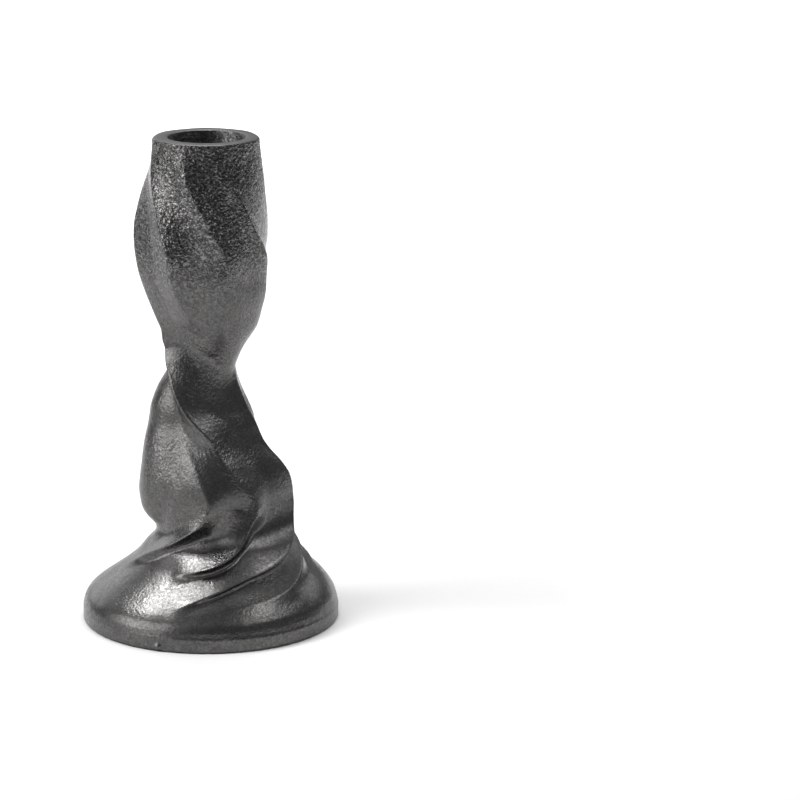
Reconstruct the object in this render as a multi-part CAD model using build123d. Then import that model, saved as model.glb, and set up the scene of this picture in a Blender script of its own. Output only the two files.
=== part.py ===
from build123d import *
import os

import numpy as np

# Spiral candle holder: a twisted, fluted column on a flared round foot, cast in one piece of iron, with a blind
# socket for a dinner candle in its top and a self-adhesive felt disc let into its underside.
# Millimetres, +Z up. The origin is the centre of the face that the holder rests on, and the front looks along -Y.
# Azimuths are in degrees: 0 is the front, and they grow towards +X.

# Driving sizes of the whole
OVERALL_HEIGHT = 144.5
FOOT_RADIUS = 38.0

# Socket for a dinner candle, and the wall round it at the floor of a flute
SOCKET_RADIUS = 11.25
SOCKET_DEPTH = 25.0
SOCKET_EDGE_BREAK = 0.3
RIM_WALL = 3.6

# Foot: an upright lip, the dome that rises behind it, and the cored hollow under the dome
LIP_HEIGHT = 4.0
LIP_STEP = 0.45
LIP_EDGE_ROUND = 0.35
FLARE_HEIGHT = 31.0
HOLLOW_RADIUS = 30.0
HOLLOW_TOP_RADIUS = 14.0
HOLLOW_HEIGHT = 22.0

# Felt and its adhesive film, in a recess of the underside
FELT_THICKNESS = 1.0
FELT_PROUD = 0.3
FELT_MARGIN = 3.2
FELT_CLEARANCE = 0.25
FILM_THICKNESS = 0.15

# Folds: how far a full crest stands over the flutes, how far its flanks reach, and how round its edge is
CREST_HEIGHT = 2.5
FLANK_REACH = 8.0
CREST_ROUND = 0.45
FLANK_POWER = 1.7

# Waist: how far its narrowest level tips up on the left and down on the right, and how far it swings up and
# down twice on its way round, with an azimuth where that swing passes its middle
WAIST_TIP = 1.6
WAIST_SWING = 3.5
WAIST_TURN = 12.0

# Skin: the spacing of its level sections in the swirl over the foot and in the column, and their points
SWIRL_SPACING = 0.6
COLUMN_SPACING = 1.8
SWIRL_TOP = 38.0
SECTION_POINTS = 120
PATH_POINTS = 90
SLOPE_STEP = 0.25
STEEPEST_SLOPE = 1.6

RIM_RADIUS = SOCKET_RADIUS + RIM_WALL
LIP_TOP = FELT_PROUD + LIP_HEIGHT
RECESS_DEPTH = FELT_THICKNESS + FILM_THICKNESS - FELT_PROUD
FELT_RADIUS = FOOT_RADIUS - FELT_MARGIN
OVERRUN = SOCKET_EDGE_BREAK

# Column: height in overall heights, radius of the flute floors and sideways drift in rim radii, and how much
# the narrowing of the waist leans round the front there
COLUMN_SHARES = (
    (1.04, 1.01, -0.02, 0.0),
    (1.00, 1.01, -0.02, 0.0),
    (0.95, 1.03, -0.04, 0.0),
    (0.91, 1.06, -0.05, 0.0),
    (0.86, 1.10, -0.07, 0.0),
    (0.82, 1.14, -0.09, 0.0),
    (0.78, 1.17, -0.08, 0.1),
    (0.73, 1.13, -0.09, 0.3),
    (0.69, 1.07, -0.06, 0.5),
    (0.65, 0.97, -0.04, 0.6),
    (0.62, 0.88, -0.03, 0.9),
    (0.58, 0.70, -0.12, 1.0),
    (0.55, 0.58, -0.13, 1.0),
    (0.52, 0.59, -0.10, 1.0),
    (0.49, 0.63, -0.11, 0.7),
    (0.45, 0.69, -0.10, 0.3),
    (0.42, 0.77, -0.06, 0.1),
    (0.37, 0.91, -0.05, 0.0),
    (0.33, 1.08, 0.02, 0.0),
    (0.30, 1.18, 0.06, 0.0),
    (0.27, 1.22, 0.08, 0.0),
    (0.24, 1.21, 0.11, 0.0),
    (0.22, 1.19, 0.13, 0.0),
    (0.19, 1.17, 0.15, 0.0),
    (0.16, 1.15, 0.12, 0.0),
    (0.13, 1.12, 0.15, 0.0),
    (0.09, 1.11, 0.11, 0.0),
    (0.06, 1.11, 0.02, 0.0),
    (0.00, 1.11, 0.00, 0.0),
)

# Flare of the foot: height in flare heights, and how much of the way out from the column to the foot's radius
FLARE_SHARES = (
    (1.20, 0.00),
    (0.94, 0.00),
    (0.80, 0.07),
    (0.70, 0.19),
    (0.57, 0.36),
    (0.44, 0.55),
    (0.31, 0.75),
    (0.20, 0.90),
    (0.14, 0.96),
    (0.08, 0.99),
    (0.00, 1.00),
)

# Paths of the folds, from the top down: height in overall heights, azimuth in degrees, crest in crest heights,
# and the reach of the flank behind the crest and of the flank before it, in flank reaches
PATH_SHARES = {
    "first": (
        (1.04, -134, 0.2, 1.0, 1.0),
        (1.00, -128, 0.2, 1.0, 1.0),
        (0.94, -115, 0.7, 1.0, 1.0),
        (0.88, -102, 1.1, 1.1, 1.0),
        (0.82, -92, 1.2, 1.1, 1.0),
        (0.75, -84, 1.0, 1.1, 1.0),
        (0.69, -81, 0.8, 1.0, 1.0),
        (0.64, -77, 0.7, 0.9, 0.9),
        (0.58, -70, 1.1, 0.5, 0.9),
        (0.53, -55, 1.4, 0.4, 0.8),
        (0.49, -39, 1.5, 0.4, 0.8),
        (0.46, -28, 1.4, 0.5, 0.8),
        (0.43, -14, 1.2, 0.6, 0.8),
        (0.41, -3, 1.1, 0.7, 0.8),
        (0.39, 7, 0.9, 0.8, 0.8),
        (0.35, 17, 0.7, 1.0, 0.9),
        (0.32, 24, 0.5, 1.1, 1.0),
        (0.28, 35, 0.5, 1.2, 1.0),
        (0.25, 38, 0.8, 1.2, 0.8),
        (0.22, 28, 1.1, 1.0, 0.5),
        (0.19, 19, 1.5, 0.8, 0.4),
        (0.17, 10, 1.6, 0.7, 0.4),
        (0.155, -2, 1.5, 0.7, 0.4),
        (0.145, -13, 1.1, 0.7, 0.4),
        (0.13, -33, 0.0, 0.8, 0.5),
    ),
    "second": (
        (1.04, -88, 0.3, 1.0, 1.0),
        (1.00, -80, 0.3, 1.0, 1.0),
        (0.93, -66, 0.6, 1.0, 1.0),
        (0.89, -55, 0.8, 1.0, 1.0),
        (0.85, -44, 0.9, 1.0, 1.0),
        (0.82, -38, 1.0, 1.0, 1.0),
        (0.78, -33, 1.0, 1.0, 1.0),
        (0.73, -29, 0.9, 1.0, 1.0),
        (0.69, -27, 0.8, 0.9, 0.9),
        (0.66, -23, 0.6, 0.9, 0.9),
        (0.63, -17, 0.4, 0.9, 0.9),
        (0.59, -9, 0.1, 0.9, 0.9),
        (0.55, -4, 0.0, 0.9, 0.9),
    ),
    "third": (
        (1.04, -43, 0.2, 1.0, 1.0),
        (1.00, -34, 0.2, 1.0, 1.0),
        (0.96, -25, 0.5, 1.0, 1.0),
        (0.93, -19, 0.7, 1.0, 1.0),
        (0.90, -11, 0.8, 1.0, 1.0),
        (0.87, -3, 0.9, 1.0, 1.0),
        (0.84, 5, 1.0, 1.0, 1.0),
        (0.81, 12, 1.0, 1.0, 1.0),
        (0.79, 17, 1.0, 1.0, 1.0),
        (0.76, 20, 1.1, 1.0, 1.2),
        (0.72, 18, 1.2, 1.0, 1.3),
        (0.68, 17, 1.1, 1.0, 1.3),
        (0.64, 17, 0.9, 1.0, 1.3),
        (0.60, 18, 0.4, 1.0, 1.2),
        (0.56, 20, 0.0, 1.0, 1.0),
    ),
    "fourth": (
        (1.04, 18, 0.2, 1.0, 1.0),
        (1.00, 18, 0.2, 1.0, 1.0),
        (0.97, 15, 0.3, 1.0, 1.0),
        (0.93, 21, 0.5, 1.0, 1.0),
        (0.91, 28, 0.7, 1.2, 0.7),
        (0.89, 35, 0.8, 1.3, 0.6),
        (0.87, 39, 0.9, 1.4, 0.6),
        (0.83, 49, 1.0, 1.4, 0.6),
        (0.80, 58, 1.0, 1.4, 0.6),
        (0.77, 66, 1.0, 1.4, 0.7),
        (0.73, 76, 0.8, 1.3, 0.9),
        (0.69, 80, 0.7, 1.2, 1.0),
        (0.64, 84, 0.5, 1.0, 1.0),
        (0.58, 86, 0.2, 1.0, 1.0),
        (0.53, 82, 0.2, 0.9, 0.6),
        (0.48, 78, 0.7, 1.0, 0.5),
        (0.44, 77, 1.0, 1.1, 0.5),
        (0.40, 79, 1.2, 1.2, 0.5),
        (0.36, 83, 1.5, 1.4, 0.6),
        (0.32, 88, 1.9, 1.4, 0.8),
        (0.29, 90, 2.0, 1.4, 0.8),
        (0.26, 90, 2.0, 1.4, 0.8),
        (0.23, 87, 2.0, 1.2, 0.6),
        (0.20, 80, 1.9, 1.1, 0.5),
        (0.18, 71, 1.9, 1.0, 0.4),
        (0.16, 55, 1.8, 1.0, 0.4),
        (0.145, 34, 1.6, 1.0, 0.4),
        (0.13, 15, 1.2, 1.0, 0.3),
        (0.11, -2, 1.0, 1.0, 0.3),
        (0.09, -15, 0.5, 1.0, 0.4),
        (0.075, -22, 0.0, 1.0, 0.5),
    ),
    "fifth": (
        (1.04, 75, 0.3, 1.0, 1.0),
        (1.00, 79, 0.3, 1.0, 1.0),
        (0.95, 86, 0.5, 1.0, 1.0),
        (0.89, 93, 0.7, 1.0, 1.0),
        (0.82, 104, 1.0, 1.0, 1.0),
        (0.75, 116, 1.0, 1.0, 1.0),
        (0.68, 122, 0.7, 1.0, 1.0),
        (0.61, 124, 0.4, 0.9, 0.9),
        (0.54, 122, 0.5, 1.0, 0.8),
        (0.48, 117, 1.1, 1.0, 0.6),
        (0.44, 112, 1.4, 1.1, 0.6),
        (0.40, 112, 1.2, 1.1, 0.6),
        (0.35, 121, 1.0, 1.2, 0.6),
        (0.30, 132, 1.0, 1.2, 0.8),
        (0.26, 134, 1.0, 1.2, 0.8),
        (0.22, 126, 1.2, 1.1, 0.6),
        (0.19, 108, 1.4, 1.0, 0.5),
        (0.165, 91, 1.4, 1.0, 0.5),
        (0.14, 74, 1.0, 1.0, 0.6),
        (0.12, 58, 0.7, 1.0, 0.7),
        (0.10, 40, 0.5, 1.0, 0.7),
        (0.09, 22, 0.3, 1.0, 0.7),
        (0.08, 0, 0.1, 1.0, 0.6),
        (0.075, -12, 0.0, 1.0, 0.5),
    ),
    "sixth": (
        (1.04, 120, 0.2, 1.0, 1.0),
        (1.00, 128, 0.2, 1.0, 1.0),
        (0.93, 138, 0.7, 1.0, 1.0),
        (0.85, 150, 1.0, 1.0, 1.0),
        (0.76, 163, 0.9, 1.0, 0.8),
        (0.68, 171, 0.7, 1.0, 1.0),
        (0.60, 174, 0.3, 0.9, 0.9),
        (0.53, 170, 0.4, 0.9, 0.8),
        (0.47, 164, 0.8, 1.0, 0.6),
        (0.41, 162, 1.0, 1.1, 0.6),
        (0.35, 168, 1.0, 1.2, 0.6),
        (0.30, 176, 1.1, 1.2, 0.8),
        (0.26, 178, 1.1, 1.1, 0.6),
        (0.23, 171, 1.1, 1.0, 0.5),
        (0.20, 155, 1.0, 0.9, 0.4),
        (0.17, 136, 1.0, 0.9, 0.4),
        (0.15, 121, 0.8, 0.9, 0.4),
        (0.125, 103, 0.5, 0.9, 0.4),
        (0.11, 88, 0.0, 0.9, 0.5),
    ),
    "seventh": (
        (1.04, 168, 0.2, 1.0, 1.0),
        (1.00, 178, 0.2, 1.0, 1.0),
        (0.94, 190, 0.6, 1.0, 1.0),
        (0.87, 203, 1.0, 1.0, 1.0),
        (0.79, 216, 1.0, 1.0, 0.8),
        (0.71, 224, 0.8, 1.0, 1.0),
        (0.64, 226, 0.4, 0.9, 0.9),
        (0.58, 222, 0.2, 0.9, 0.9),
        (0.52, 214, 0.6, 0.9, 0.6),
        (0.46, 208, 1.0, 1.0, 0.5),
        (0.40, 207, 1.1, 1.1, 0.5),
        (0.34, 214, 1.2, 1.2, 0.6),
        (0.30, 220, 1.2, 1.1, 0.6),
        (0.27, 219, 1.1, 1.0, 0.5),
        (0.24, 210, 1.1, 0.9, 0.4),
        (0.21, 192, 1.1, 0.9, 0.4),
        (0.18, 174, 1.0, 0.9, 0.4),
        (0.15, 157, 0.8, 0.9, 0.4),
        (0.12, 140, 0.4, 0.9, 0.4),
        (0.10, 128, 0.0, 0.9, 0.5),
    ),
    "left": (
        (0.31, -114, 0.0, 1.0, 0.8),
        (0.27, -116, 0.4, 1.0, 0.6),
        (0.24, -123, 0.8, 0.9, 0.5),
        (0.21, -136, 1.0, 0.8, 0.4),
        (0.18, -153, 1.0, 0.8, 0.4),
        (0.15, -173, 0.8, 0.8, 0.4),
        (0.13, -187, 0.4, 0.8, 0.4),
        (0.11, -202, 0.0, 0.8, 0.5),
    ),
    "front": (
        (0.46, -65, 0.0, 1.0, 0.8),
        (0.42, -46, 0.0, 1.0, 0.8),
        (0.38, -27, 0.1, 1.0, 1.2),
        (0.35, -17, 0.3, 1.0, 1.2),
        (0.32, -12, 0.4, 1.0, 1.3),
        (0.30, -8, 0.5, 1.0, 1.3),
        (0.28, -5, 0.6, 1.0, 1.1),
        (0.265, -4, 0.7, 0.9, 0.8),
        (0.25, -7, 0.8, 0.7, 0.5),
        (0.23, -13, 0.9, 0.6, 0.5),
        (0.21, -24, 1.1, 0.5, 0.4),
        (0.185, -41, 1.1, 0.5, 0.4),
        (0.16, -58, 0.9, 0.5, 0.4),
        (0.135, -74, 0.4, 0.5, 0.4),
        (0.11, -86, 0.0, 0.6, 0.5),
    ),
}

# Path of the broad, rounded lobe on the left of the lower column, in the same terms
LOBE_SHARES = (
    (0.57, -137, 0.0, 1.2, 1.2),
    (0.53, -127, 0.8, 1.2, 1.2),
    (0.48, -113, 1.9, 1.5, 1.4),
    (0.44, -104, 2.3, 1.8, 1.5),
    (0.40, -99, 2.2, 1.9, 1.6),
    (0.36, -95, 2.0, 2.0, 1.8),
    (0.32, -92, 1.7, 2.0, 1.9),
    (0.28, -90, 1.6, 1.8, 1.8),
    (0.25, -90, 1.6, 1.5, 1.5),
    (0.22, -90, 1.3, 1.2, 1.2),
    (0.20, -90, 0.4, 1.1, 1.1),
    (0.18, -90, 0.1, 1.0, 1.0),
    (0.16, -90, 0.0, 1.0, 1.0),
)


def smooth(places, values, wanted):
    """Values at the wanted places: cubic spans between knots, with no overshoot where the values turn."""
    span = np.diff(places)
    slope = np.diff(values) / span
    tangent = np.empty_like(values)
    tangent[0], tangent[-1] = slope[0], slope[-1]
    tangent[1:-1] = (slope[:-1] * span[1:] + slope[1:] * span[:-1]) / (span[:-1] + span[1:])
    tangent[1:-1][slope[:-1] * slope[1:] <= 0] = 0
    wanted = np.clip(wanted, places[0], places[-1])
    left = np.clip(np.searchsorted(places, wanted) - 1, 0, len(span) - 1)
    t = (wanted - places[left]) / span[left]
    ends = values[left] * (1 + 2 * t) * (1 - t) ** 2 + values[left + 1] * t * t * (3 - 2 * t)
    pull = tangent[left] * t * (1 - t) ** 2 - tangent[left + 1] * t * t * (1 - t)
    return ends + pull * span[left]


def column_share(height, which):
    """Share of radius (which 1), of drift (which 2) or of lean (which 3) of the column at a height."""
    rows = np.array(COLUMN_SHARES[::-1])
    return smooth(rows[:, 0] * OVERALL_HEIGHT, rows[:, which], height)


def floor_radius(height):
    """Radius of the flute floors at a height, with the flare of the foot."""
    rows = np.array(FLARE_SHARES[::-1])
    flare = smooth(LIP_TOP + rows[:, 0] * (FLARE_HEIGHT - LIP_TOP), rows[:, 1], height)
    inner = RIM_RADIUS * column_share(height, 1)
    return inner + flare * (FOOT_RADIUS - LIP_STEP - inner)


def dense_path(share_rows):
    """Points along a fold: height, azimuth, crest height and the reach of its two flanks."""
    rows = np.array(share_rows, float)
    rows[:, 0] *= OVERALL_HEIGHT
    rows[:, 2] *= CREST_HEIGHT
    rows[:, 3:] *= FLANK_REACH
    radius = floor_radius(rows[:, 0])
    across = np.radians(np.diff(rows[:, 1])) * (radius[1:] + radius[:-1]) / 2
    run = np.concatenate([[0], np.cumsum(np.hypot(np.diff(rows[:, 0]), across))])
    wanted = np.linspace(0, run[-1], PATH_POINTS)
    return np.stack([smooth(run, rows[:, which], wanted) for which in range(rows.shape[1])], 1)


def nearest_on_path(path, height, azimuth, radius, slant):
    """For each point of the skin: distance from the path, side of it, and the path's own values there."""
    turn = (azimuth[:, None] - path[None, :-1, 1] + 180) % 360 - 180
    away = np.radians(turn) * radius[:, None]
    over = (height[:, None] - path[None, :-1, 0]) * slant[:, None]
    along = np.radians(np.diff(path[:, 1]))[None] * radius[:, None]
    down = np.diff(path[:, 0])[None] * slant[:, None]
    reached = np.clip((away * along + over * down) / (along ** 2 + down ** 2), 0, 1)
    gap = np.hypot(away - reached * along, over - reached * down)
    best = np.argmin(gap, 1)
    row = np.arange(len(best))
    side = along[row, best] * over[row, best] - down[row, best] * away[row, best]
    share = reached[row, best][:, None]
    values = path[best] * (1 - share) + path[best + 1] * share
    return gap[row, best], side, values


def fold(path, height, azimuth, radius, slant):
    """How far a sharp fold stands over the flutes: a rounded edge with hollow flanks."""
    gap, side, values = nearest_on_path(path, height, azimuth, radius, slant)
    reach = np.where(side > 0, values[:, 4], values[:, 3])
    gap = np.hypot(gap, CREST_ROUND) - CREST_ROUND
    return values[:, 2] * (1 - np.clip(gap / reach, 0, 1)) ** FLANK_POWER


def lobe(path, height, azimuth, radius, slant):
    """How far a broad rounded lobe stands out."""
    gap, side, values = nearest_on_path(path, height, azimuth, radius, slant)
    reach = np.where(side > 0, values[:, 4], values[:, 3])
    return values[:, 2] * (1 - np.clip(gap / reach, 0, 1) ** 2) ** 2


def section(level, folds, left_lobe):
    """Closed wire of the skin at one level."""
    turns = np.arange(SECTION_POINTS) / SECTION_POINTS
    azimuth = 360 * turns
    height = np.full_like(azimuth, level)
    radius = floor_radius(height)
    rise = (floor_radius(height + SLOPE_STEP) - floor_radius(height - SLOPE_STEP)) / (2 * SLOPE_STEP)
    slant = np.hypot(1, np.minimum(abs(rise), STEEPEST_SLOPE))
    turn = 2 * np.pi * turns
    swing = WAIST_SWING * np.sin(2 * (turn - np.radians(WAIST_TURN)))
    lean = column_share(height, 3) * (WAIST_TIP * np.sin(turn) + swing)
    outer = floor_radius(height + lean) + lobe(left_lobe, height, azimuth, radius, slant)
    for path in folds:
        outer = outer + fold(path, height, azimuth, radius, slant)
    x = RIM_RADIUS * column_share(height, 2) + outer * np.sin(turn)
    y = -outer * np.cos(turn)
    points = [(float(a), float(b), level) for a, b in zip(x, y)]
    shares = [float(share) for share in turns] + [1.0]
    return Wire([Edge.make_spline(points, periodic=True, parameters=shares)])


def section_levels():
    """Levels of the sections: close together in the swirl over the foot, wider apart up the column."""
    swirl = np.linspace(LIP_TOP, SWIRL_TOP, 1 + round((SWIRL_TOP - LIP_TOP) / SWIRL_SPACING))
    above = np.linspace(SWIRL_TOP, OVERALL_HEIGHT, 1 + round((OVERALL_HEIGHT - SWIRL_TOP) / COLUMN_SPACING))
    return [float(level) for level in (*swirl, *above[1:])]


def rising(shape, level):
    """The shape, lifted to a level."""
    return Pos(0, 0, level) * shape


def upright_cylinder(radius, height, level):
    """Cylinder that stands on a level."""
    return rising(Cylinder(radius, height, align=(Align.CENTER, Align.CENTER, Align.MIN)), level)


def make_skin():
    """The twisted column and the dome of the foot, as one skin ruled from each level section to the next."""
    folds = [dense_path(rows) for rows in PATH_SHARES.values()]
    left_lobe = dense_path(LOBE_SHARES)
    return Solid.make_loft([section(level, folds, left_lobe) for level in section_levels()], ruled=True)


def make_lip():
    """The upright lip round the foot."""
    lip = upright_cylinder(FOOT_RADIUS, LIP_HEIGHT, FELT_PROUD)
    upper_edge = lip.edges().sort_by(Axis.Z)[-1]
    return fillet(upper_edge, LIP_EDGE_ROUND)


def make_twisted_casting():
    """The one cast piece: column, foot and lip, less the socket, the hollow and the felt's recess."""
    casting = make_skin() + make_lip()
    socket = upright_cylinder(SOCKET_RADIUS, SOCKET_DEPTH + OVERRUN, OVERALL_HEIGHT - SOCKET_DEPTH)
    edge_break = rising(
        Cone(
            SOCKET_RADIUS,
            SOCKET_RADIUS + SOCKET_EDGE_BREAK + OVERRUN,
            SOCKET_EDGE_BREAK + OVERRUN,
            align=(Align.CENTER, Align.CENTER, Align.MIN),
        ),
        OVERALL_HEIGHT - SOCKET_EDGE_BREAK,
    )
    recess = upright_cylinder(FELT_RADIUS + FELT_CLEARANCE, RECESS_DEPTH + OVERRUN, FELT_PROUD - OVERRUN)
    hollow = rising(
        Cone(
            HOLLOW_RADIUS,
            HOLLOW_TOP_RADIUS,
            HOLLOW_HEIGHT,
            align=(Align.CENTER, Align.CENTER, Align.MIN),
        ),
        FELT_PROUD + RECESS_DEPTH,
    )
    return casting - socket - edge_break - recess - hollow


def make_felt_disc():
    """The round felt that the holder rests on."""
    return upright_cylinder(FELT_RADIUS, FELT_THICKNESS, 0)


def make_adhesive_film():
    """The adhesive film between the felt and the ledge of the casting."""
    return upright_cylinder(FELT_RADIUS, FILM_THICKNESS, FELT_THICKNESS)


def main():
    os.makedirs("parts", exist_ok=True)
    export_step(make_twisted_casting(), "parts/twisted_casting.step")
    export_step(make_felt_disc(), "parts/felt_disc.step")
    export_step(make_adhesive_film(), "parts/adhesive_film.step")


if __name__ == "__main__":
    main()
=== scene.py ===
"""Looks of the spiral candle holder, in metres, in the same frame as its solids.

The origin is the centre of the face that the holder rests on, +Z is up, and the front looks along -Y.
Azimuths are 0 at the front and grow towards +X.
"""

import logging
from dataclasses import dataclass, field
from enum import Enum
from typing import Any, Iterable, Optional, Sequence, Union

import bpy
import numpy as np
from mathutils import Matrix, Vector

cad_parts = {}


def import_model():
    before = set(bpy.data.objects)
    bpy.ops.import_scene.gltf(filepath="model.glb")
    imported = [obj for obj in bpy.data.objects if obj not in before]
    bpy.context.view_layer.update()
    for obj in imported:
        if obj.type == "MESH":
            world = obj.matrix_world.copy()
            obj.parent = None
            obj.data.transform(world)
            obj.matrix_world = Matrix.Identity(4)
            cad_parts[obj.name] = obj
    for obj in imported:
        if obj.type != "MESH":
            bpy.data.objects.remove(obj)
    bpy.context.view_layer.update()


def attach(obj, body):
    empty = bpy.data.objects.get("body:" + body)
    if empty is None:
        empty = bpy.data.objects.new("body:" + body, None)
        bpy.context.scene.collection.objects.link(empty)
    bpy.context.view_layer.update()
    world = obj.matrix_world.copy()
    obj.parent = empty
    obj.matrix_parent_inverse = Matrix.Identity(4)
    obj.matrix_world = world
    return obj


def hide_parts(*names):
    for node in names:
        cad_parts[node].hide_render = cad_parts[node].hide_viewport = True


LOG = logging.getLogger("candle_holder")
MM = 0.001
NOISE_SHIFT = 1.0  # metres, so that the noise's lattice is read in one octant
Number = Union[int, float]
Colour = tuple[float, float, float]
Band = tuple[float, float]

# Column: height in overall heights, radius of the flute floors and sideways drift in rim radii, and how much
# the narrowing of the waist leans round the front there
COLUMN_SHARES = (
    (1.04, 1.01, -0.02, 0.0),
    (1.00, 1.01, -0.02, 0.0),
    (0.95, 1.03, -0.04, 0.0),
    (0.91, 1.06, -0.05, 0.0),
    (0.86, 1.10, -0.07, 0.0),
    (0.82, 1.14, -0.09, 0.0),
    (0.78, 1.17, -0.08, 0.1),
    (0.73, 1.13, -0.09, 0.3),
    (0.69, 1.07, -0.06, 0.5),
    (0.65, 0.97, -0.04, 0.6),
    (0.62, 0.88, -0.03, 0.9),
    (0.58, 0.70, -0.12, 1.0),
    (0.55, 0.58, -0.13, 1.0),
    (0.52, 0.59, -0.10, 1.0),
    (0.49, 0.63, -0.11, 0.7),
    (0.45, 0.69, -0.10, 0.3),
    (0.42, 0.77, -0.06, 0.1),
    (0.37, 0.91, -0.05, 0.0),
    (0.33, 1.08, 0.02, 0.0),
    (0.30, 1.18, 0.06, 0.0),
    (0.27, 1.22, 0.08, 0.0),
    (0.24, 1.21, 0.11, 0.0),
    (0.22, 1.19, 0.13, 0.0),
    (0.19, 1.17, 0.15, 0.0),
    (0.16, 1.15, 0.12, 0.0),
    (0.13, 1.12, 0.15, 0.0),
    (0.09, 1.11, 0.11, 0.0),
    (0.06, 1.11, 0.02, 0.0),
    (0.00, 1.11, 0.00, 0.0),
)

# Flare of the foot: height in flare heights, and how much of the way out from the column to the foot's radius
FLARE_SHARES = (
    (1.20, 0.00),
    (0.94, 0.00),
    (0.80, 0.07),
    (0.70, 0.19),
    (0.57, 0.36),
    (0.44, 0.55),
    (0.31, 0.75),
    (0.20, 0.90),
    (0.14, 0.96),
    (0.08, 0.99),
    (0.00, 1.00),
)

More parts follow.
